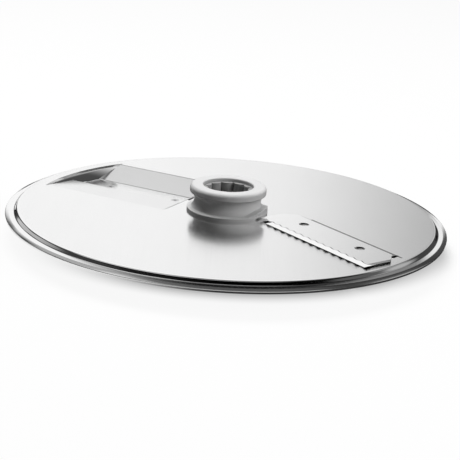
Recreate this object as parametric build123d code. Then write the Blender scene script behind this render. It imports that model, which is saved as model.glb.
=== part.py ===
"""Reversible slicing disc for a food processor: thin slices on one face, thick slices on the other."""

import os
from dataclasses import dataclass
from math import atan2, cos, pi, sin, sqrt

from build123d import *

# Steel sheet of the plate
SHEET = 1.0
BEND = 0.8  # inside radius where the sheet folds out of its face
CREST = 2.4  # inside radius where it bends over a raised edge

# Rim, stepped down around the flat face
FACE_RADIUS = 83.5
STEP_RUN = 1.0
STEP_DROP = 1.5
RIM_RUN = 1.9
LIP_RUN = 1.75
LIP_DROP = 0.5
EDGE_ROUND = 0.35

# Openings of the two cutting stations, measured from the disc axis along and across each blade
ARC_MARGIN = 4.9  # sheet kept between both openings and the step of the rim
SLIT = 1.0  # clear width between a flap's end and the outer arc of its opening
INNER_FOLD = 19.6  # where the flaps start, next to the hub
FOLD_MARGIN = 0.9  # flat sheet kept beyond a fold before the opening's outline
RAMP_GAP = 2.5  # from the square outer end of the ramp to the arc

# Thin side, with its flap pressed up out of the upper face
THIN_HEADING = -25.6
THIN_RISE = 0.6
THIN_SLOPE = 1.9
THIN_WALL = 3.0
THIN_REAR = 22.9
THIN_SLOT_REAR = 10.0
THIN_SLOT_FRONT = 3.5
COIN_FOLD = -1.4
COIN_DEPTH = 0.12  # how far the sheet in front of the thin blade is pressed down

# Thick side, with its flap pressed down out of the lower face
THICK_HEADING = 180.0
THICK_RISE = 5.1
THICK_SLOPE = 11.6
THICK_WALL = 8.0
THICK_REAR = 32.0
THICK_SLOT_REAR = 8.6
THICK_SLOT_FRONT = 2.2
RAMP_FOLD = -16.1
RAMP_RISE = 1.9

# Blade strip, the same on both faces
BLADE = 0.7
BLADE_START = 17.2
BLADE_OVERHANG = 0.6  # how far the blade's outer end stands over the sheet beyond the arc
BLADE_FRONT = 3.75  # tips of the teeth
BLADE_REAR = 19.7
CORNER_CUT = 4.0
BEVEL_RUN = 2.8
EDGE_LAND = 0.12
TEETH = 14
TOOTH_MARGIN = 1.0  # plain edge before the first and after the last tooth
TOOTH_TIP = 0.15
TOOTH_DEPTH = 1.15
TOOTH_STEEP = 1.1  # run of the steep flank that faces outwards
TOOTH_ROOT = 0.4

# Rivets, flush with the flap
RIVET_SHANK = 1.3
RIVET_FIT = 0.05
RIVET_LINE = 13.7
RIVET_INSET = 14.8  # from each end of the blade
SINK_RADIUS = 2.0
HEAD = 0.2
TAIL_RADIUS = 1.75
TAIL = 0.4
DIMPLE_RADIUS = 0.55
DIMPLE = 0.5

# Hub, moulded onto the plate and alike on both faces
HUB_RISE = 10.6
FLANGE_RADIUS = 16.3
FLANGE = 1.2
FLANGE_ROUND = 0.25
FLANGE_SLOPE = 0.4
WAIST_RADIUS = 13.4
WAIST_FLARE = 1.2
COLLAR_RADIUS = 15.35
COLLAR = 3.2
COLLAR_ROUND = 1.4
UNDER_ROUND = 0.5
LOBES = 12
LOBE_RADIUS = 7.95  # from the axis to the crests of the lobes
LOBE_DEPTH = 1.85
MOUTH_LEDGE = 0.25  # from the grooves to the wall of the round mouths
COUNTERBORE = 1.5
MOUTH_ROUND = 0.6
SEAT_RADIUS = 12.0  # centre hole of the plate
KEYS = 4
KEY_RADIUS = 1.1
MOULD_GAP = 0.05
SADDLE_TURN = 34.0  # raised part of the upper flange, degrees from the direction of the thin blade
SADDLE_RISE = 1.7
SADDLE_FLAT = 5.0  # half the width of its level top
SADDLE_REACH = 12.3  # half its width at the foot
SADDLE_ROUND = 12.0
SADDLE_INSET = 0.1  # from the edge of the flange

FACE_Z = HUB_RISE + SHEET
OUTER_RADIUS = FACE_RADIUS + STEP_RUN + RIM_RUN + LIP_RUN
ARC_RADIUS = FACE_RADIUS - ARC_MARGIN
BLADE_END = ARC_RADIUS + BLADE_OVERHANG
GROOVE_RADIUS = LOBE_RADIUS + LOBE_DEPTH
BORE_RADIUS = GROOVE_RADIUS + MOUTH_LEDGE
KEY_CIRCLE = (SEAT_RADIUS + FLANGE_RADIUS) / 2
FAR = 2 * OUTER_RADIUS  # longer than any cut needs to be
TINY = 0.01  # tells an edge in a face from one beside it


@dataclass(frozen=True)
class Station:
    """One cutting station, seen from the face that its blade stands on.

    Distances across the blade are counted from the disc axis, positive behind the cutting edge.
    """

    heading: float  # direction of the blade in plan, degrees
    upward: bool  # whether the blade stands on the upper face
    rise: float  # height of the flap that carries the blade
    slope_run: float  # run of the slope behind the flap
    wall_run: float  # run of the wall between the hub and the flap
    rear_fold: float  # fold behind the slope
    slot_rear: float  # front edge of the flap
    slot_front: float  # edge of the sheet in front of the blade
    front_fold: float  # fold where that sheet starts to lean or is pressed down
    ramp_rise: float  # height of the ramp at the slot, none where the edge is coined instead


THIN = Station(
    heading=THIN_HEADING,
    upward=True,
    rise=THIN_RISE,
    slope_run=THIN_SLOPE,
    wall_run=THIN_WALL,
    rear_fold=THIN_REAR,
    slot_rear=THIN_SLOT_REAR,
    slot_front=THIN_SLOT_FRONT,
    front_fold=COIN_FOLD,
    ramp_rise=0,
)
THICK = Station(
    heading=THICK_HEADING,
    upward=False,
    rise=THICK_RISE,
    slope_run=THICK_SLOPE,
    wall_run=THICK_WALL,
    rear_fold=THICK_REAR,
    slot_rear=THICK_SLOT_REAR,
    slot_front=THICK_SLOT_FRONT,
    front_fold=RAMP_FOLD,
    ramp_rise=RAMP_RISE,
)


def beside(line, gap):
    """Move a bent line square to itself, to the right of its run, and mitre it at its bends."""
    turns = [atan2(b[1] - a[1], b[0] - a[0]) for a, b in zip(line, line[1:])]
    turns = [turns[0], *turns, turns[-1]]
    moved = []
    for (x, y), before, after in zip(line, turns, turns[1:]):
        middle = (before + after) / 2
        reach = gap / cos((after - before) / 2)
        moved.append((x + reach * sin(middle), y - reach * cos(middle)))
    return moved


def rounded(outline, bends):
    """Fill a closed outline and round the corners named as (point, radius) pairs."""
    face = make_face(Polyline(*outline, close=True))
    for (x, y), radius in bends:
        corner = face.vertices().sort_by_distance((x, y, 0))[0]
        face = fillet(corner, radius)
    return face


def bend_radii(line, upper):
    """Give each bend of a sheet its radius on the upper or the lower side of the line."""
    turns = [atan2(b[1] - a[1], b[0] - a[0]) for a, b in zip(line, line[1:])]
    inside_up = [after > before for before, after in zip(turns, turns[1:])]
    return [BEND if inside == upper else BEND + SHEET for inside in inside_up]


def area_under(line):
    """Fill the area below a bent line."""
    below = -FACE_RADIUS
    return make_face(Polyline(*line, (line[-1][0], below), (line[0][0], below), close=True))


def creases(body):
    """Return the edges inside a pressed surface, without those on the body's sides and bottom."""
    box = body.bounding_box()
    low, high = box.min, box.max
    inside = []
    for edge in body.edges():
        x, y, z = edge.center()
        if min(x - low.X, high.X - x, y - low.Y, high.Y - y, z - low.Z) > TINY:
            inside.append(edge)
    return inside


def pressed_side(across, along, depth):
    """Return the body under one side of a pressed sheet, at a depth below the sheet's upper side."""
    over = extrude(Plane.YZ * area_under(beside(across, depth)), FAR)
    down = extrude(Plane.XZ * area_under(beside(along, depth)), FAR, both=True)
    body = over & down
    raised = [edge for edge in creases(body) if edge.center().Z + depth > TINY]
    body = fillet(raised, CREST + SHEET - depth)
    folds = [edge for edge in creases(body) if abs(edge.center().Z + depth) < TINY]
    return fillet(folds, BEND + depth)


def pressed_sheet(across, along, plan):
    """Press a sheet to one bent line across the blade and one along it, within an area in plan."""
    return (pressed_side(across, along, 0) - pressed_side(across, along, SHEET)) & through(plan)


def through(plan):
    """Extrude an area in plan well past both faces of the plate."""
    return extrude(plan, FACE_RADIUS, both=True)


def plan_box(start, end, front, rear):
    """Fill a rectangle in plan, given along and across a blade."""
    return Pos((start + end) / 2, (front + rear) / 2) * Rectangle(end - start, rear - front)


def seat(station):
    """Return the frame of a station: along the blade, to its rear and out of the face it stands on."""
    turn = station.heading / 180 * pi
    height = FACE_Z if station.upward else FACE_Z - SHEET
    out = (0, 0, 1) if station.upward else (0, 0, -1)
    return Location(Plane(origin=(0, 0, height), x_dir=(cos(turn), sin(turn), 0), z_dir=out))


def window(station):
    """Return the area in plan that a station's flap, slot and ramp take up."""
    front = station.front_fold - FOLD_MARGIN if station.ramp_rise else station.slot_front
    area = plan_box(INNER_FOLD - FOLD_MARGIN, FAR, front, station.rear_fold + FOLD_MARGIN)
    return area & Circle(ARC_RADIUS)


def flap(station):
    """Return the pressed flap that carries a blade, with a hole for each rivet."""
    rise = station.rise
    level = station.rear_fold - station.slope_run
    across = [(-FAR, rise), (level, rise), (station.rear_fold, 0), (FAR, 0)]
    along = [(-FAR, 0), (INNER_FOLD, 0), (INNER_FOLD + station.wall_run, rise), (FAR, rise)]
    start = INNER_FOLD - FOLD_MARGIN
    plan = plan_box(start, FAR, station.slot_rear, station.rear_fold + FOLD_MARGIN)
    sheet = pressed_sheet(across, along, plan & Circle(ARC_RADIUS - SLIT))
    return sheet - rivet_places() * (Pos(Z=rise) * rivet_hole())


def ramp(station):
    """Return the sheet that leans up to the slot in front of a blade."""
    pitch = station.ramp_rise / (station.slot_front - station.front_fold)
    steep = station.rise / station.wall_run
    across = [(-FAR, 0), (station.front_fold, 0), (FAR, pitch * (FAR - station.front_fold))]
    along = [(-FAR, 0), (INNER_FOLD, 0), (FAR, steep * (FAR - INNER_FOLD))]
    start = INNER_FOLD - FOLD_MARGIN
    plan = plan_box(start, ARC_RADIUS - RAMP_GAP, station.front_fold - FOLD_MARGIN, station.slot_front)
    return pressed_sheet(across, along, plan)


def coined_edge(station):
    """Return the wedge pressed out of the sheet's edge in front of a slot."""
    front, edge = station.front_fold, station.slot_front
    wedge = make_face(Polyline((front, 0), (edge, -COIN_DEPTH), (edge, 0), close=True))
    length = sqrt(ARC_RADIUS**2 - front**2) - INNER_FOLD
    return Pos(X=INNER_FOLD) * extrude(Plane.YZ * wedge, length)


def plate_blank():
    """Return the round plate with its stepped rim and the holes that the hub is moulded through."""
    wall = FACE_RADIUS + STEP_RUN
    flat = wall + RIM_RUN
    top = [(SEAT_RADIUS, 0), (FACE_RADIUS, 0), (wall, -STEP_DROP), (flat, -STEP_DROP)]
    top.append((OUTER_RADIUS, -STEP_DROP - LIP_DROP))
    under = beside(top, SHEET)
    bends = list(zip(top[1:-1], bend_radii(top, True))) + list(zip(under[1:-1], bend_radii(top, False)))
    bends += [(top[-1], EDGE_ROUND), (under[-1], EDGE_ROUND)]
    section = rounded([*top, *reversed(under)], bends)
    blank = revolve(Plane.XZ * section, Axis.Z)
    return blank - PolarLocations(KEY_CIRCLE, KEYS) * Cylinder(KEY_RADIUS, 4 * SHEET)


def disc_plate():
    """Return the stamped plate with both cutting stations."""
    plate = Pos(Z=FACE_Z) * plate_blank()
    for station in (THIN, THICK):
        frame = seat(station)
        plate -= frame * through(window(station))
        plate += frame * flap(station)
        plate = plate + frame * ramp(station) if station.ramp_rise else plate - frame * coined_edge(station)
    return plate


def rivet_places():
    """Return the two places of a blade's rivets."""
    return Locations((BLADE_START + RIVET_INSET, RIVET_LINE), (BLADE_END - RIVET_INSET, RIVET_LINE))


def rivet_hole():
    """Return the hole for a rivet through a flap, sunk on the side away from the blade."""
    radius = RIVET_SHANK + RIVET_FIT
    sink = Cone(TAIL_RADIUS, radius, TAIL, align=(Align.CENTER, Align.CENTER, Align.MIN))
    return Cylinder(radius, FACE_RADIUS) + Pos(Z=-SHEET) * sink


def sink_radius(height):
    """Return the radius of the blade's countersink at a height above the blade's seat."""
    start = RIVET_SHANK + RIVET_FIT
    return start + (SINK_RADIUS - start) * height / BLADE


def blade_outline():
    """Return the blade's outline in plan, with cut corners behind and its front edge still straight."""
    points = [
        (BLADE_START, BLADE_FRONT),
        (BLADE_END, BLADE_FRONT),
        (BLADE_END, BLADE_REAR - CORNER_CUT),
        (BLADE_END - CORNER_CUT, BLADE_REAR),
        (BLADE_START + CORNER_CUT, BLADE_REAR),
        (BLADE_START, BLADE_REAR - CORNER_CUT),
    ]
    return make_face(Polyline(*points, close=True))


def tooth_gap(pitch):
    """Return the gap between two teeth in plan, steep beside the inner tooth and slanting to the outer one."""
    inner = (TOOTH_TIP - pitch) / 2
    outer = (pitch - TOOTH_TIP) / 2
    root = (inner + TOOTH_STEEP, TOOTH_DEPTH)
    outline = [(inner, 0), root, (outer, 0), (outer, -TOOTH_DEPTH), (inner, -TOOTH_DEPTH)]
    return rounded(outline, [(root, TOOTH_ROOT)])


def blade():
    """Return a serrated blade, its seat at height 0 and its bevel ground on that side."""
    front = BLADE_FRONT - BLADE
    edge = BLADE - EDGE_LAND
    bevel = [(front, edge), (BLADE_FRONT, edge), (BLADE_FRONT + BEVEL_RUN, 0)]
    bevel += [(BLADE_FRONT + BEVEL_RUN, -BLADE), (front, -BLADE)]
    strip = extrude(blade_outline(), BLADE) - extrude(Plane.YZ * make_face(Polyline(*bevel, close=True)), FAR)

    pitch = (BLADE_END - BLADE_START - 2 * TOOTH_MARGIN) / TEETH
    gap = extrude(tooth_gap(pitch), BLADE)
    strip -= Pos((BLADE_START + BLADE_END) / 2, BLADE_FRONT) * GridLocations(pitch, 0, TEETH, 1) * gap

    sink = Cone(sink_radius(0), SINK_RADIUS, BLADE, align=(Align.CENTER, Align.CENTER, Align.MIN))
    return strip - rivet_places() * sink


def rivet():
    """Return a rivet on its own axis, with the blade's seat at height 0."""
    under = -SHEET
    hole = RIVET_SHANK + RIVET_FIT
    outline = [
        (0, HEAD),
        (sink_radius(HEAD), HEAD),
        (sink_radius(0), 0),
        (RIVET_SHANK, 0),
        (RIVET_SHANK, under + TAIL),
        (hole, under + TAIL),
        (TAIL_RADIUS, under),
        (DIMPLE_RADIUS, under),
        (DIMPLE_RADIUS, under + DIMPLE),
        (0, under + DIMPLE),
    ]
    return revolve(Plane.XZ * make_face(Polyline(*outline, close=True)), Axis.Z)


def on_flap(station, shape):
    """Put a shape built on the blade's seat onto a station's flap."""
    return seat(station) * Pos(Z=station.rise) * shape


def hub_half():
    """Return the upper half of the spool hub without its bore, standing on the plate's face."""
    waist_low = FLANGE + FLANGE_SLOPE
    waist_high = HUB_RISE - COLLAR
    flare = WAIST_RADIUS + WAIST_FLARE
    barrel = SEAT_RADIUS - MOULD_GAP
    outline = [
        Polyline((0, HUB_RISE), (0, -SHEET / 2), (barrel, -SHEET / 2), (barrel, 0), (FLANGE_RADIUS, 0)),
        Polyline((FLANGE_RADIUS, 0), (FLANGE_RADIUS, FLANGE), (flare, waist_low)),
        ThreePointArc((flare, waist_low), (WAIST_RADIUS, (waist_low + waist_high) / 2), (flare, waist_high)),
        Polyline((flare, waist_high), (COLLAR_RADIUS, waist_high), (COLLAR_RADIUS, HUB_RISE), (0, HUB_RISE)),
    ]
    section = make_face(outline)
    bends = [
        ((FLANGE_RADIUS, FLANGE), FLANGE_ROUND),
        ((COLLAR_RADIUS, waist_high), UNDER_ROUND),
        ((COLLAR_RADIUS, HUB_RISE), COLLAR_ROUND),
    ]
    for (x, y), radius in bends:
        corner = section.vertices().sort_by_distance((x, y, 0))[0]
        section = fillet(corner, radius)
    half = revolve(Plane.XZ * section, Axis.Z)
    pin = Cylinder(KEY_RADIUS - MOULD_GAP, SHEET, align=(Align.CENTER, Align.CENTER, Align.MAX))
    return half + PolarLocations(KEY_CIRCLE, KEYS) * pin


def saddle():
    """Return the raised part of the upper flange, beside the inner end of the thin blade."""
    top = FLANGE + SADDLE_RISE
    foot = FLANGE - FLANGE_ROUND
    base = FLANGE / 2
    half = [(0, base), (SADDLE_REACH, base), (SADDLE_REACH, foot), (SADDLE_FLAT, top), (0, top)]
    section = make_face(Polyline(*half, close=True))
    section += mirror(section, Plane.YZ)
    for x in (-SADDLE_FLAT, SADDLE_FLAT):
        corner = section.vertices().sort_by_distance((x, top, 0))[0]
        section = fillet(corner, SADDLE_ROUND)
    turn = (THIN_HEADING + SADDLE_TURN) * pi / 180
    outward = Plane(origin=(0, 0, 0), x_dir=(-sin(turn), cos(turn), 0), z_dir=(cos(turn), sin(turn), 0))
    return extrude(outward * section, FLANGE_RADIUS) & Cylinder(FLANGE_RADIUS - SADDLE_INSET, 2 * HUB_RISE)


def bore_section():
    """Return the lobed section of the drive bore."""
    apart = cos(pi / LOBES)
    spread = LOBE_RADIUS**2 + GROOVE_RADIUS**2 - 2 * LOBE_RADIUS * GROOVE_RADIUS * apart
    lobe = spread / (2 * (GROOVE_RADIUS * apart - LOBE_RADIUS))
    return Circle(BORE_RADIUS) - PolarLocations(LOBE_RADIUS + lobe, LOBES) * Circle(lobe)


def drive_hub():
    """Return the moulded hub, gripping the plate from both faces."""
    half = hub_half()
    hub = half + mirror(half, Plane.XY.offset(-SHEET / 2)) + saddle()
    hub = Pos(Z=FACE_Z) * hub
    height = 2 * HUB_RISE + SHEET
    hub -= extrude(bore_section(), height)
    for level in (0, height):
        hub -= Pos(Z=level) * Cylinder(BORE_RADIUS, 2 * COUNTERBORE)
    mouths = hub.faces().sort_by(Axis.Z)[0].inner_wires() + hub.faces().sort_by(Axis.Z)[-1].inner_wires()
    return fillet([edge for mouth in mouths for edge in mouth.edges()], MOUTH_ROUND)


os.makedirs("parts", exist_ok=True)
export_step(disc_plate(), "parts/disc_plate.step")
export_step(drive_hub(), "parts/drive_hub.step")
for name, side in (("thin", THIN), ("thick", THICK)):
    export_step(on_flap(side, blade()), f"parts/{name}_slice_blade.step")
    rivets = Compound([on_flap(side, place * rivet()) for place in rivet_places()])
    export_step(rivets, f"parts/{name}_blade_rivets.step")
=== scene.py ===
"""Dress, light and frame a reversible slicing disc for a food processor.

Lengths are in metres and angles in degrees. A bearing is counted to the right of straight away
from the camera.
"""

import logging
import math
from dataclasses import dataclass, field, replace
from enum import Enum, IntEnum

import bpy
from mathutils import Euler, Matrix, Vector


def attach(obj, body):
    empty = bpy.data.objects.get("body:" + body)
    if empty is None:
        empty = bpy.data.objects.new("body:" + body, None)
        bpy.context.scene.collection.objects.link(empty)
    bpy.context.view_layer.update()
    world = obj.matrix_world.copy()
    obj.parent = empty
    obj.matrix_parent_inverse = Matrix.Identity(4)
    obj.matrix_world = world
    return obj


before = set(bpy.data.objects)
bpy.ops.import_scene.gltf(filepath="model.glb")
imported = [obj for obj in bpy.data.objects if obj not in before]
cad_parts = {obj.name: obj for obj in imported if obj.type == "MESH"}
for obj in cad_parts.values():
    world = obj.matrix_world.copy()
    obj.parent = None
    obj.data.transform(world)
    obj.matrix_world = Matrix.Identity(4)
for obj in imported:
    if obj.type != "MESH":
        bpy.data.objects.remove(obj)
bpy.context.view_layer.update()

LOG = logging.getLogger("slicing_disc")
MM = 0.001

Socket = bpy.types.NodeSocket
Span = tuple[float, float]
Triple = tuple[float, float, float]
Colour = Triple
Value = Socket | float | Colour
Stops = tuple[Span, ...]

FACE_HEIGHT = 11.6 * MM
ROLLING_HEADING = 116.8
THIN_HEADING = -25.6
THICK_HEADING = 180.0

QUARTER_TURN, HALF_TURN, FULL_TURN = 90.0, 180.0, 360.0
AWAY, RIGHT = 0.0, QUARTER_TURN
ORIGIN: Triple = (0.0, 0.0, 0.0)
UPRIGHT: Triple = (0.0, 0.0, 1.0)
EVEN: Triple = (1.0, 1.0, 1.0)
IN_PLAN: Triple = (1.0, 1.0, 0.0)
WHITE: Colour = (1.0, 1.0, 1.0)
OPAQUE = 1.0

NOISE_ROUGHNESS = 0.55
NOISE_RANGE: Span = (0.3, 0.7)
STRIPE_CORE = 1 / 3
FIRST_BOUNCE = 0.5
RAMP_MIDDLE = 0.5


class Node(str, Enum):
    """Names of the solids that the disc is made of."""

    PLATE = "disc_plate"
    HUB = "drive_hub"
    THIN_BLADE = "thin_slice_blade"
    THICK_BLADE = "thick_slice_blade"
    THIN_RIVETS = "thin_blade_rivets"
    THICK_RIVETS = "thick_blade_rivets"


class Ray(str, Enum):
    """What a studio surface can tell about the ray that meets it."""

    CAMERA = "Is Camera Ray"
    GLOSSY = "Is Glossy Ray"
    SCATTERED = "Diffuse Depth"


class MixPort(IntEnum):
    """Places of the colour sockets on a Mix node."""

    SHARE = 0
    RESULT = 2
    FIRST = 6
    SECOND = 7


def grey(level: float) -> Colour:
    """Return the neutral colour of a brightness."""
    return level, level, level


class Graph:
    """A small helper that adds and links shader nodes."""

    def __init__(self, owner: bpy.types.ID) -> None:
        """Start an empty node tree.

        Args:
            owner: The material or world that the tree belongs to.
        """
        owner.use_nodes = True
        self.tree = owner.node_tree
        self.tree.nodes.clear()

    def add(self, kind: str, **settings: object) -> bpy.types.Node:
        """Add a node and set its properties and unlinked inputs.

        Args:
            kind: The node's type name, without the ShaderNode prefix.
            settings: Properties by name, or inputs by name with spaces as underscores.

        Returns:
            The new node.
        """
        node = self.tree.nodes.new("ShaderNode" + kind)
        for name, value in settings.items():
            if name in node.bl_rna.properties:
                setattr(node, name, value)
            else:
                node.inputs[name.replace("_", " ")].default_value = value
        return node

    def link(self, source: Socket, target: Socket) -> None:
        """Join an output to an input."""
        self.tree.links.new(source, target)

    def feed(self, target: Socket, value: Value) -> None:
        """Give an input its value.

        Args:
            target: The input.
            value: A number, a colour, or the output that the input follows.
        """
        if isinstance(value, Socket):
            self.link(value, target)
        elif isinstance(value, tuple):
            target.default_value = (*value, OPAQUE)
        else:
            target.default_value = value

    def object_space(self, turn: float, scale: Triple) -> Socket:
        """Give coordinates fixed to the piece, turned about its upright axis and stretched.

        Args:
            turn: Direction in plan that the pattern's first axis follows.
            scale: Number of pattern units in a metre along each axis.

        Returns:
            The vector output.
        """
        turned = self.add("Mapping", vector_type="POINT")
        turned.inputs["Rotation"].default_value = (0.0, 0.0, math.radians(-turn))
        self.link(self.add("TexCoord").outputs["Object"], turned.inputs["Vector"])
        stretched = self.add("VectorMath", operation="MULTIPLY")
        stretched.inputs[1].default_value = scale
        self.link(turned.outputs["Vector"], stretched.inputs[0])
        return stretched.outputs["Vector"]

    def noise(self, vector: Socket, detail: float) -> Socket:
        """Give a noise pattern with one feature in each pattern unit.

        Args:
            vector: Coordinates in pattern units.
            detail: Number of finer layers.

        Returns:
            The noise value.
        """
        node = self.add("TexNoise", Scale=1.0, Detail=detail, Roughness=NOISE_ROUGHNESS)
        self.link(vector, node.inputs["Vector"])
        return node.outputs["Fac"]

    def rescale(self, value: Socket, old: Span, new: Span) -> Socket:
        """Map a value from one range onto another.

        Args:
            value: The value.
            old: Its own range.
            new: The range of the result.

        Returns:
            The mapped value.
        """
        node = self.add("MapRange", To_Min=new[0], To_Max=new[1])
        node.inputs["From Min"].default_value, node.inputs["From Max"].default_value = old
        self.link(value, node.inputs["Value"])
        return node.outputs["Result"]

    def step(self, value: Socket, span: Span) -> Socket:
        """Give a soft step from 0 to 1.

        Args:
            value: The value that is compared.
            span: Values where the step starts and ends.

        Returns:
            The step.
        """
        node = self.add("MapRange", interpolation_type="SMOOTHSTEP")
        node.inputs["From Min"].default_value, node.inputs["From Max"].default_value = span
        self.link(value, node.inputs["Value"])
        return node.outputs["Result"]

    def maths(self, kind: str, *values: Value) -> Socket:
        """Combine values.

        Args:
            kind: The operation.
            values: Its terms, each a number or an output.

        Returns:
            The result.
        """
        node = self.add("Math", operation=kind)
        for place, value in enumerate(values):
            self.feed(node.inputs[place], value)
        return node.outputs["Value"]

    def mix(self, share: Value, first: Value, second: Value, kind: str = "MIX") -> Socket:
        """Blend two colours.

        Args:
            share: Share of the second colour, from 0 to 1.
            first: First colour.
            second: Second colour.
            kind: How the second colour acts on the first.

        Returns:
            The blended colour.
        """
        node = self.add("Mix", data_type="RGBA", blend_type=kind)
        self.feed(node.inputs[MixPort.SHARE], share)
        self.feed(node.inputs[MixPort.FIRST], first)
        self.feed(node.inputs[MixPort.SECOND], second)
        return node.outputs[MixPort.RESULT]

    def bump(self, height: Socket, strength: float, depth: float) -> Socket:
        """Turn a height into a bumped normal.

        Args:
            height: The height value.
            strength: Strength of the effect, up to 1.
            depth: Height of one unit.

        Returns:
            The normal.
        """
        node = self.add("Bump", Strength=strength, Distance=depth)
        self.link(height, node.inputs["Height"])
        return node.outputs["Normal"]

    def finish(self, shader: Socket, output: str = "OutputMaterial") -> None:
        """Join a shader to the tree's output."""
        self.link(shader, self.add(output).inputs["Surface"])


@dataclass(frozen=True)
class PaintedShadeLine:
    """A dark straight line of painted shade along the fold behind the thin blade's rear edge."""

    heading: float
    along: Span
    across: float
    width: float
    depth: float
    # Near black, the colour of the painted shade.
    shade_colour: Colour = grey(0.03)

    def share(self, graph: Graph) -> Socket:
        """Give the share of the painted shade colour, strong on the line and 0 away from it.

        Args:
            graph: The tree to add to.

        Returns:
            The share.
        """
        parts = graph.add("SeparateXYZ")
        graph.link(graph.object_space(self.heading, EVEN), parts.inputs["Vector"])
        onward, sideways = parts.outputs["X"], parts.outputs["Y"]
        start, end = self.along
        apart = graph.maths("ABSOLUTE", graph.maths("SUBTRACT", sideways, self.across))
        inside = graph.step(apart, (self.width, self.width * STRIPE_CORE))
        begun = graph.step(onward, (start, start + self.width))
        ended = graph.step(onward, (end, end - self.width))
        line = graph.maths("MULTIPLY", inside, graph.maths("MULTIPLY", begun, ended))
        return graph.maths("MULTIPLY", line, self.depth)


@dataclass(frozen=True)
class GrainedSteel:
    """Bare steel with a fine straight grain, from rolling, brushing or grinding."""

    name: str
    light: Colour
    dark: Colour
    smooth: float
    rough: float
    grain_heading: float
    grain_length: float
    grain_width: float
    relief: float
    grain_detail: float = 3.0
    grain_depth: float = 0.02 * MM
    mottle: float = 14 * MM
    mottle_stretch: float = 2.0
    mottle_detail: float = 2.0
    shade_line: PaintedShadeLine | None = None

    def material(self) -> bpy.types.Material:
        """Make the finish.

        Returns:
            A material whose grain is fixed to the piece.
        """
        made = bpy.data.materials.new(self.name)
        graph = Graph(made)
        along, across = 1 / self.grain_length, 1 / self.grain_width
        lines = graph.object_space(self.grain_heading, (along, across, across))
        grain = graph.noise(lines, self.grain_detail)
        cloud = 1 / self.mottle
        patches = (cloud / self.mottle_stretch, cloud, cloud)
        clouds = graph.noise(graph.object_space(self.grain_heading, patches), self.mottle_detail)
        colour = graph.mix(clouds, self.dark, self.light)
        # Paint the dark shade line on, where the steel has one.
        if self.shade_line:
            colour = graph.mix(self.shade_line.share(graph), colour, self.shade_line.shade_colour)
        roughness = graph.rescale(grain, NOISE_RANGE, (self.smooth, self.rough))
        metal = graph.add("BsdfPrincipled", Metallic=1.0)
        graph.link(colour, metal.inputs["Base Color"])
        graph.link(roughness, metal.inputs["Roughness"])
        graph.link(graph.bump(grain, self.relief, self.grain_depth), metal.inputs["Normal"])
        graph.finish(metal.outputs["BSDF"])
        return made


@dataclass(frozen=True)
class MouldedPlastic:
    """Satin plastic with the faint texture of its mould, and painted shade that darkens the drive
    socket.
    """

    name: str
    light: Colour
    dark: Colour
    smooth: float
    rough: float
    pore: float
    relief: float
    socket: Span
    socket_shade_level: float
    refraction: float = 1.5
    pore_detail: float = 2.0
    pore_depth: float = 0.05 * MM
    cloud: float = 6 * MM
    cloud_detail: float = 3.0

    def material(self) -> bpy.types.Material:
        """Make the finish.

        Returns:
            A material whose texture is fixed to the piece.
        """
        made = bpy.data.materials.new(self.name)
        graph = Graph(made)
        pores = graph.noise(graph.object_space(0.0, (1 / self.pore,) * 3), self.pore_detail)
        clouds = graph.noise(graph.object_space(0.0, (1 / self.cloud,) * 3), self.cloud_detail)
        # Painted shade: inside the drive socket the colour is darkened, where little light
        # reaches.
        from_axis = graph.add("VectorMath", operation="LENGTH")
        graph.link(graph.object_space(0.0, IN_PLAN), from_axis.inputs[0])
        outside = graph.step(from_axis.outputs["Value"], self.socket)
        painted_socket_shade = graph.mix(outside, grey(self.socket_shade_level), WHITE)
        colour = graph.mix(1.0, graph.mix(clouds, self.dark, self.light), painted_socket_shade, "MULTIPLY")
        roughness = graph.rescale(clouds, NOISE_RANGE, (self.smooth, self.rough))
        plastic = graph.add("BsdfPrincipled", Metallic=0.0, IOR=self.refraction)
        graph.link(colour, plastic.inputs["Base Color"])
        graph.link(roughness, plastic.inputs["Roughness"])
        graph.link(graph.bump(pores, self.relief, self.pore_depth), plastic.inputs["Normal"])
        graph.finish(plastic.outputs["BSDF"])
        return made


PLATE_STEEL = GrainedSteel(
    name="rolled_plate_steel",
    light=grey(0.92),
    dark=grey(0.89),
    smooth=0.16,
    rough=0.21,
    grain_heading=ROLLING_HEADING,
    grain_length=40 * MM,
    grain_width=0.35 * MM,
    relief=0.10,
    # A painted shade line behind the thin blade's rear edge.
    shade_line=PaintedShadeLine(
        heading=THIN_HEADING,
        along=(25 * MM, 77.5 * MM),
        across=23.2 * MM,
        width=0.7 * MM,
        depth=0.85,
    ),
)
RIM_STEEL = replace(
    PLATE_STEEL, name="pressed_rim_steel", smooth=0.07, rough=0.11, relief=0.04, shade_line=None,
)
HUB_PLASTIC = MouldedPlastic(
    name="grey_hub_plastic",
    light=grey(0.72),
    dark=grey(0.68),
    smooth=0.36,
    rough=0.46,
    pore=0.25 * MM,
    relief=0.12,
    # Inside this radius the colour is darkened to the level below: painted shade in the drive
    # socket.
    socket=(9.9 * MM, 10.3 * MM),
    socket_shade_level=0.5,
)


def dress_node(node: Node, material: bpy.types.Material) -> None:
    """Put a material on one of the solids.

    Args:
        node: The solid.
        material: Its finish.
    """
    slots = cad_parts[node.value].data.materials
    slots.clear()
    slots.append(material)
    LOG.info("dressed %s with %s", node.value, material.name)


@dataclass
class PressedPlate:
    """The stamped steel plate with its two cutting stations."""

    finish: GrainedSteel = PLATE_STEEL

    def dress(self) -> None:
        """Give the plate its rolled finish."""
        dress_node(Node.PLATE, self.finish.material())


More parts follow.
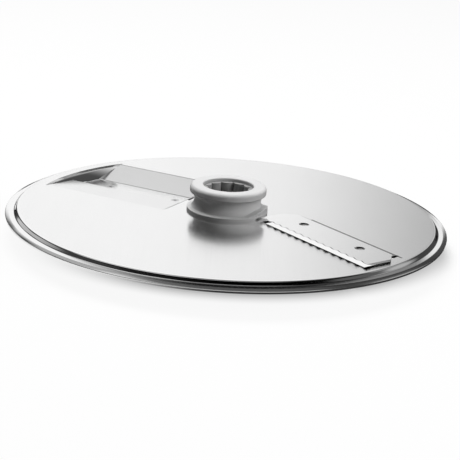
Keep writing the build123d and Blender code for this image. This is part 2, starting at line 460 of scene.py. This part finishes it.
@dataclass
class PressedRim:
    """The smooth skin of the plate's stepped rim, which the press has polished."""

    face_height: float = FACE_HEIGHT
    face_radius: float = 83.5 * MM
    step_run: float = 1.0 * MM
    step_drop: float = 1.5 * MM
    gutter_run: float = 1.9 * MM
    gutter_fall: float = 0.26 * MM
    lip_run: float = 1.75 * MM
    lip_drop: float = 0.5 * MM
    sheet: float = 1.0 * MM
    shoulder_bend: float = 1.0 * MM
    outer_bend: float = 1.8 * MM
    inner_bend: float = 0.8 * MM
    edge_round: float = 0.35 * MM
    overlap: float = 1.2 * MM
    proud: float = 0.005 * MM
    bend_steps: int = 8
    turn_steps: int = 288
    merge_reach: float = 0.001 * MM
    finish: GrainedSteel = RIM_STEEL

    def corners(self) -> list[tuple[Vector, float]]:
        """Find the corners of the rim's section, from the face outwards.

        Returns:
            Each corner, as radius and height, with the radius of its bend.
        """
        level = self.face_height + self.proud
        start = Vector((self.face_radius - self.overlap, level))
        shoulder = Vector((self.face_radius, level))
        foot = shoulder + Vector((self.step_run, self.gutter_fall - self.step_drop))
        crest = foot + Vector((self.gutter_run, -self.gutter_fall))
        edge = crest + Vector((self.lip_run, -self.lip_drop))
        lean = math.atan2(self.lip_drop, self.lip_run)
        hem = edge - Vector((math.sin(lean), math.cos(lean))) * self.sheet
        return [
            (start, 0.0), (shoulder, self.shoulder_bend), (foot, self.inner_bend),
            (crest, self.outer_bend), (edge, self.edge_round), (hem, 0.0),
        ]

    def rounded(
        self, before: Vector, corner: Vector, after: Vector, radius: float,
    ) -> list[Vector]:
        """Round one corner of the section.

        Args:
            before: The corner before it.
            corner: The corner itself.
            after: The corner after it.
            radius: Radius of the bend.

        Returns:
            Points along the bend.
        """
        back, forth = (before - corner).normalized(), (after - corner).normalized()
        half = back.angle(forth) / 2
        centre = corner + (back + forth).normalized() * (radius / math.sin(half))
        first = corner + back * (radius / math.tan(half)) - centre
        last = corner + forth * (radius / math.tan(half)) - centre
        sweep = first.angle_signed(last)
        turns = (-sweep * step / self.bend_steps for step in range(self.bend_steps + 1))
        return [centre + Matrix.Rotation(turn, 2) @ first for turn in turns]

    def section(self) -> list[Vector]:
        """Trace the rim's rounded section.

        Returns:
            Points from the face outwards, in a plane through the disc's axis.
        """
        corners = self.corners()
        points = [corners[0][0]]
        for (before, _), (corner, radius), (after, _) in zip(corners, corners[1:], corners[2:]):
            points += self.rounded(before, corner, after, radius)
        points.append(corners[-1][0])
        return [Vector((point.x, 0.0, point.y)) for point in points]

    def build(self) -> None:
        """Draw the section out from one point and spin it about the disc's axis."""
        points = self.section()
        bpy.ops.object.select_all(action="DESELECT")
        bpy.ops.mesh.primitive_plane_add(size=self.sheet, location=points[0])
        rim = bpy.context.object
        rim.name = rim.data.name = "pressed_rim"
        bpy.ops.object.transform_apply(location=True, rotation=False, scale=False)

        bpy.ops.object.mode_set(mode="EDIT")
        bpy.ops.mesh.select_all(action="SELECT")
        bpy.ops.mesh.merge(type="CENTER")
        for before, after in zip(points, points[1:]):
            bpy.ops.mesh.extrude_vertices_move(TRANSFORM_OT_translate={"value": after - before})
        bpy.ops.mesh.select_all(action="SELECT")
        bpy.ops.mesh.spin(
            steps=self.turn_steps, angle=math.radians(FULL_TURN), center=ORIGIN, axis=UPRIGHT,
        )
        bpy.ops.mesh.select_all(action="SELECT")
        bpy.ops.mesh.remove_doubles(threshold=self.merge_reach)
        bpy.ops.mesh.normals_make_consistent(inside=False)
        bpy.ops.object.mode_set(mode="OBJECT")

        if max(rim.data.polygons, key=lambda face: face.center.z).normal.z < 0.0:
            rim.data.flip_normals()
        bpy.ops.object.shade_smooth()
        rim.data.materials.append(self.finish.material())
        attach(rim, "root")
        LOG.info("spun %s with %d faces", rim.name, len(rim.data.polygons))


@dataclass
class CuttingStation:
    """A serrated blade and the two rivets that hold it."""

    blade: Node
    rivets: Node
    heading: float

    def blade_finish(self) -> GrainedSteel:
        """Choose steel that is ground square to the cutting edge.

        Returns:
            The blade's finish.
        """
        return GrainedSteel(
            name=self.blade.value + "_ground_steel",
            light=grey(0.97),
            dark=grey(0.93),
            smooth=0.15,
            rough=0.22,
            grain_heading=self.heading + QUARTER_TURN,
            grain_length=9 * MM,
            grain_width=0.18 * MM,
            relief=0.12,
        )

    def rivet_finish(self) -> GrainedSteel:
        """Choose the duller steel of the rivets.

        Returns:
            The rivets' finish.
        """
        return GrainedSteel(
            name=self.rivets.value + "_steel",
            light=grey(0.80),
            dark=grey(0.70),
            smooth=0.22,
            rough=0.34,
            grain_heading=self.heading,
            grain_length=1.2 * MM,
            grain_width=0.3 * MM,
            relief=0.1,
            mottle=1.5 * MM,
        )

    def dress(self) -> None:
        """Give the blade and its rivets their finishes."""
        dress_node(self.blade, self.blade_finish().material())
        dress_node(self.rivets, self.rivet_finish().material())


@dataclass
class SpoolHub:
    """The moulded hub that is driven by the machine's spindle."""

    finish: MouldedPlastic = HUB_PLASTIC

    def dress(self) -> None:
        """Give the hub its satin plastic."""
        dress_node(Node.HUB, self.finish.material())


@dataclass(frozen=True)
class Lamp:
    """A soft square lamp that polished steel doesn't mirror."""

    name: str
    turn: float
    rise: float
    reach: float
    side: float
    watts: float

    def hang(self, middle: Vector, way: Vector) -> None:
        """Hang the lamp and aim it at the disc.

        Args:
            middle: Point that the lamp faces.
            way: Unit vector from there to the lamp.
        """
        data = bpy.data.lights.new(self.name, "AREA")
        data.shape = "SQUARE"
        data.size = self.side
        data.energy = self.watts
        lamp = bpy.data.objects.new(self.name, data)
        bpy.context.scene.collection.objects.link(lamp)
        lamp.location = middle + way * self.reach
        lamp.rotation_euler = (-way).to_track_quat("-Z", "Y").to_euler()
        lamp.visible_glossy = False
        LOG.info("hung %s", self.name)


LAMPS = (
    Lamp("top_lamp", turn=-30.0, rise=70.0, reach=0.9, side=0.6, watts=9.0),
    Lamp("side_lamp", turn=108.0, rise=25.0, reach=0.9, side=0.4, watts=3.8),
)


@dataclass(frozen=True)
class Band:
    """A level stretch of the room, as polished steel sees it.

    It fades in over the band below between two elevations. Its stops are bearings, each with the
    brightness there.
    """

    start: float
    full: float
    stops: Stops

    def heights(self) -> Span:
        """Return the sines of the elevations between which the band fades in."""
        return math.sin(math.radians(self.start)), math.sin(math.radians(self.full))


ROOM = (
    Band(1.0, 3.5, (
        (-180.0, 0.8), (-110.0, 0.6), (-75.0, 0.45), (-50.0, 0.5), (-39.0, 0.6), (-36.0, 0.05),
        (-23.0, 0.05), (-20.0, 1.0), (-4.0, 1.0), (3.0, 0.92), (10.0, 0.46), (12.5, 0.4),
        (14.0, 0.9), (17.0, 0.9), (19.0, 0.07), (54.0, 0.05), (61.0, 0.45), (96.0, 0.5),
        (103.0, 0.08), (124.0, 0.08), (132.0, 0.7), (180.0, 0.8),
    )),
    Band(21.0, 25.0, (
        (-180.0, 0.8), (-120.0, 0.6), (-90.0, 0.1), (-75.0, 0.25), (-65.0, 0.4), (-53.0, 0.5),
        (-49.0, 0.04), (-25.0, 0.04), (-22.0, 1.0), (-4.0, 1.0), (3.0, 0.92), (10.0, 0.46),
        (13.0, 0.25), (18.0, 0.2), (22.0, 0.05), (54.0, 0.05), (61.0, 0.45), (96.0, 0.5),
        (103.0, 0.08), (124.0, 0.08), (132.0, 0.7), (180.0, 0.8),
    )),
    Band(29.0, 35.0, (
        (-180.0, 0.6), (-125.0, 0.5), (-105.0, 0.04), (-33.0, 0.05), (-26.0, 0.45),
        (-18.0, 0.38), (-11.0, 0.3), (-6.0, 0.06), (-3.0, 0.01), (12.0, 0.01), (24.0, 0.06),
        (32.0, 0.35), (50.0, 0.4), (70.0, 0.1), (105.0, 0.1), (125.0, 0.5), (180.0, 0.6),
    )),
    Band(45.0, 49.0, (
        (-180.0, 0.0), (-60.0, 0.02), (-48.0, 0.6), (-40.0, 0.8), (-22.0, 0.8), (-14.0, 0.14),
        (-4.0, 0.09), (16.0, 0.09), (30.0, 0.05), (90.0, 0.0), (180.0, 0.0),
    )),
    Band(68.0, 76.0, (
        (-180.0, 0.0), (-90.0, 0.0), (-60.0, 0.36), (60.0, 0.36), (90.0, 0.0), (180.0, 0.0),
    )),
)


@dataclass
class Studio:
    """The pale floor, the white room, the lamps and the camera."""

    azimuth: float = 26.84
    elevation: float = 17.556
    roll: float = 3.699
    lens: float = 99.557
    sensor: float = 36.0
    clip: Span = (0.01, 50.0)
    camera_place: Vector = field(
        default_factory=lambda: Vector((223.066, -437.012, 158.485)) * MM
    )
    floor_side: float = 8.0
    floor_colour: Colour = grey(0.86)
    floor_glow: float = 0.93
    shade_place: Span = (-75 * MM, 60 * MM)
    shade_reach: Span = (22 * MM, 55 * MM)
    shade_left: Span = (-81 * MM, -90 * MM)
    shade_front: Span = (56 * MM, 44 * MM)
    hidden_back: float = 30 * MM
    hidden_reach: Span = (85 * MM, 90 * MM)
    shadow_start: Span = (82 * MM, 87 * MM)
    shadow_reach: Span = (106 * MM, 89 * MM)
    shadow_back: Span = (60 * MM, 20 * MM)
    shadow_left: Span = (-85 * MM, -15 * MM)
    shadow_depth: float = 0.7
    ring: Span = (84 * MM, 94 * MM)
    far: Span = (230 * MM, 330 * MM)
    ring_side: Span = (-75 * MM, 0.0)
    ring_left: float = 0.9
    ring_level: float = 0.04
    ground: float = 0.02
    ambient: float = 0.05
    room: tuple[Band, ...] = ROOM
    lamps: tuple[Lamp, ...] = LAMPS

    def direction(self, turn: float, rise: float) -> Vector:
        """Point from the disc towards a bearing.

        Args:
            turn: The bearing.
            rise: Degrees above the horizon.

        Returns:
            The unit vector.
        """
        bearing = math.radians(QUARTER_TURN + self.azimuth - turn)
        level, height = math.cos(math.radians(rise)), math.sin(math.radians(rise))
        return Vector((level * math.cos(bearing), level * math.sin(bearing), height))

    def distance(self, graph: Graph, right: float, back: float) -> Socket:
        """Give the distance on the floor from a point near the disc's axis.

        Args:
            graph: The tree to add to.
            right: How far the point lies to the right of the axis, seen from the camera.
            back: How far it lies behind the axis.

        Returns:
            The distance.
        """
        apart = graph.add("VectorMath", operation="DISTANCE")
        graph.link(graph.add("TexCoord").outputs["Object"], apart.inputs[0])
        place = self.direction(RIGHT, 0.0) * right + self.direction(AWAY, 0.0) * back
        apart.inputs[1].default_value = place
        return apart.outputs["Value"]

    def offset(self, graph: Graph, turn: float) -> Socket:
        """Give how far a place on the floor lies from the disc's axis towards a bearing.

        Args:
            graph: The tree to add to.
            turn: The bearing.

        Returns:
            The distance, below 0 on the other side of the axis.
        """
        across = graph.add("VectorMath", operation="DOT_PRODUCT")
        graph.link(graph.add("TexCoord").outputs["Object"], across.inputs[0])
        across.inputs[1].default_value = self.direction(turn, 0.0)
        return across.outputs["Value"]

    def unshaded(self, graph: Graph, apart: Socket) -> Socket:
        """Give how light the floor is, dark only in the shade that the left opening looks down on.

        Args:
            graph: The tree to add to.
            apart: Distance from the middle of the floor that the disc hides.

        Returns:
            The brightness.
        """
        light = graph.step(self.distance(graph, *self.shade_place), self.shade_reach)
        for bound in (
            graph.step(apart, self.hidden_reach),
            graph.step(self.offset(graph, RIGHT), self.shade_left),
            graph.step(self.offset(graph, AWAY), self.shade_front),
        ):
            light = graph.maths("MAXIMUM", light, bound)
        return light

    def shadow(self, graph: Graph, apart: Socket) -> Socket:
        """Give the share of the disc's own shadow that shows below its front edge.

        Args:
            graph: The tree to add to.
            apart: Distance from the middle of the floor that the disc hides.

        Returns:
            The share.
        """
        inner = graph.step(apart, self.shadow_start)
        outer = graph.step(apart, self.shadow_reach)
        front = graph.step(self.offset(graph, AWAY), self.shadow_back)
        right = graph.step(self.offset(graph, RIGHT), self.shadow_left)
        band = graph.maths("MULTIPLY", inner, outer)
        return graph.maths("MULTIPLY", band, graph.maths("MULTIPLY", front, right))

    def mirrored_ring(self, graph: Graph) -> Socket:
        """Give the floor's brightness in the steel, which is a ring that is light on the left.

        Args:
            graph: The tree to add to.

        Returns:
            The brightness.
        """
        near = self.distance(graph, 0.0, 0.0)
        ring = graph.maths("SUBTRACT", graph.step(near, self.ring), graph.step(near, self.far))
        side = graph.step(self.offset(graph, RIGHT), self.ring_side)
        left = graph.maths("SUBTRACT", 1.0, side)
        level = graph.maths("MULTIPLY_ADD", left, self.ring_left, self.ring_level)
        return graph.maths("MULTIPLY", ring, level)

    def floor_material(self) -> bpy.types.Material:
        """Make the floor's finish.

        The camera sees it white, but for the shade behind the disc and the shadow below its front
        edge. In most reflections it is dark.

        Returns:
            The material.
        """
        material = bpy.data.materials.new("pale_floor")
        graph = Graph(material)
        rays = graph.add("LightPath").outputs
        camera, glossy = rays[Ray.CAMERA.value], rays[Ray.GLOSSY.value]
        apart = self.distance(graph, 0.0, self.hidden_back)

        seen = graph.maths("MULTIPLY", camera, self.unshaded(graph, apart))
        strength = graph.maths("MULTIPLY_ADD", glossy, self.mirrored_ring(graph), seen)
        glow = graph.add("Emission")
        graph.link(strength, glow.inputs["Strength"])

        matt = graph.add("BsdfDiffuse", Color=(*self.floor_colour, OPAQUE))
        dimmed = graph.maths("MULTIPLY", self.shadow(graph, apart), -self.shadow_depth)
        share = graph.maths("MULTIPLY", graph.maths("ADD", dimmed, 1.0), self.floor_glow)
        share = graph.maths("MAXIMUM", graph.maths("MULTIPLY", share, camera), glossy)
        both = graph.add("MixShader")
        graph.link(share, both.inputs["Fac"])
        graph.link(matt.outputs["BSDF"], both.inputs[1])
        graph.link(glow.outputs["Emission"], both.inputs[2])
        graph.finish(both.outputs["Shader"])
        return material

    def build_floor(self) -> None:
        """Lay the floor."""
        bpy.ops.object.select_all(action="DESELECT")
        bpy.ops.mesh.primitive_plane_add(size=self.floor_side)
        floor = bpy.context.object
        floor.name = "pale_floor"
        floor.data.materials.append(self.floor_material())

    @staticmethod
    def around(graph: Graph, bearing: Socket, stops: Stops) -> Socket:
        """Give a brightness that follows the bearing round the room.

        Args:
            graph: The tree to add to.
            bearing: Bearing from 0 to 1, with 0.5 straight away from the camera.
            stops: Bearings in degrees and the brightness at each.

        Returns:
            The brightness.
        """
        ramp = graph.add("ValToRGB")
        graph.link(bearing, ramp.inputs["Fac"])
        marks = ramp.color_ramp.elements
        while len(marks) < len(stops):
            marks.new(RAMP_MIDDLE)
        for mark, (turn, level) in zip(marks, stops):
            mark.position = (turn + HALF_TURN) / FULL_TURN
            mark.color = (*grey(level), OPAQUE)
        return ramp.outputs["Color"]

    def build_room(self) -> None:
        """Surround the disc with a room, white to the camera and with grey flags for the steel."""
        world = bpy.data.worlds.new("white_room")
        bpy.context.scene.world = world
        graph = Graph(world)
        way = graph.add("Mapping", vector_type="POINT")
        way.inputs["Rotation"].default_value = (0.0, 0.0, math.radians(-self.azimuth))
        graph.link(graph.add("TexCoord").outputs["Generated"], way.inputs["Vector"])
        parts = graph.add("SeparateXYZ")
        graph.link(way.outputs["Vector"], parts.inputs["Vector"])
        turn = graph.maths("ARCTAN2", parts.outputs["X"], parts.outputs["Y"])
        bearing = graph.rescale(turn, (-math.pi, math.pi), (0.0, 1.0))

        mirrored: Value = grey(self.ground)
        for band in self.room:
            above = graph.step(parts.outputs["Z"], band.heights())
            mirrored = graph.mix(above, mirrored, self.around(graph, bearing, band.stops))
        rays = graph.add("LightPath").outputs
        direct = graph.maths("LESS_THAN", rays[Ray.SCATTERED.value], FIRST_BOUNCE)
        polished = graph.maths("MULTIPLY", rays[Ray.GLOSSY.value], direct)
        lit = graph.mix(polished, grey(self.ambient), mirrored)
        shown = graph.mix(rays[Ray.CAMERA.value], lit, WHITE)
        room = graph.add("Background", Strength=1.0)
        graph.link(shown, room.inputs["Color"])
        graph.finish(room.outputs["Background"], "OutputWorld")

    def build_lamps(self) -> None:
        """Hang the soft lamps around the middle of the disc's face."""
        for lamp in self.lamps:
            lamp.hang(Vector((0.0, 0.0, FACE_HEIGHT)), self.direction(lamp.turn, lamp.rise))

    def build_camera(self) -> None:
        """Set the camera at the picture's viewing angle."""
        data = bpy.data.cameras.new("view_camera")
        data.lens = self.lens
        data.sensor_width = self.sensor
        data.clip_start, data.clip_end = self.clip
        camera = bpy.data.objects.new("view_camera", data)
        bpy.context.scene.collection.objects.link(camera)
        tilt, heading = QUARTER_TURN - self.elevation, self.azimuth
        aim = Euler((math.radians(tilt), 0.0, math.radians(heading))).to_matrix()
        lean = Matrix.Rotation(math.radians(self.roll), 3, "Z")
        camera.matrix_world = Matrix.Translation(self.camera_place) @ (aim @ lean).to_4x4()
        bpy.context.scene.camera = camera

    def build(self) -> None:
        """Set up the whole studio."""
        bpy.context.scene.view_settings.view_transform = "Standard"
        self.build_floor()
        self.build_room()
        self.build_lamps()
        self.build_camera()


def main() -> None:
    """Dress every piece of the disc and set up the studio around it."""
    logging.basicConfig(level=logging.INFO, format="%(message)s")
    PressedPlate().dress()
    PressedRim().build()
    CuttingStation(Node.THIN_BLADE, Node.THIN_RIVETS, THIN_HEADING).dress()
    CuttingStation(Node.THICK_BLADE, Node.THICK_RIVETS, THICK_HEADING).dress()
    SpoolHub().dress()
    Studio().build()


if __name__ == "__main__":
    main()
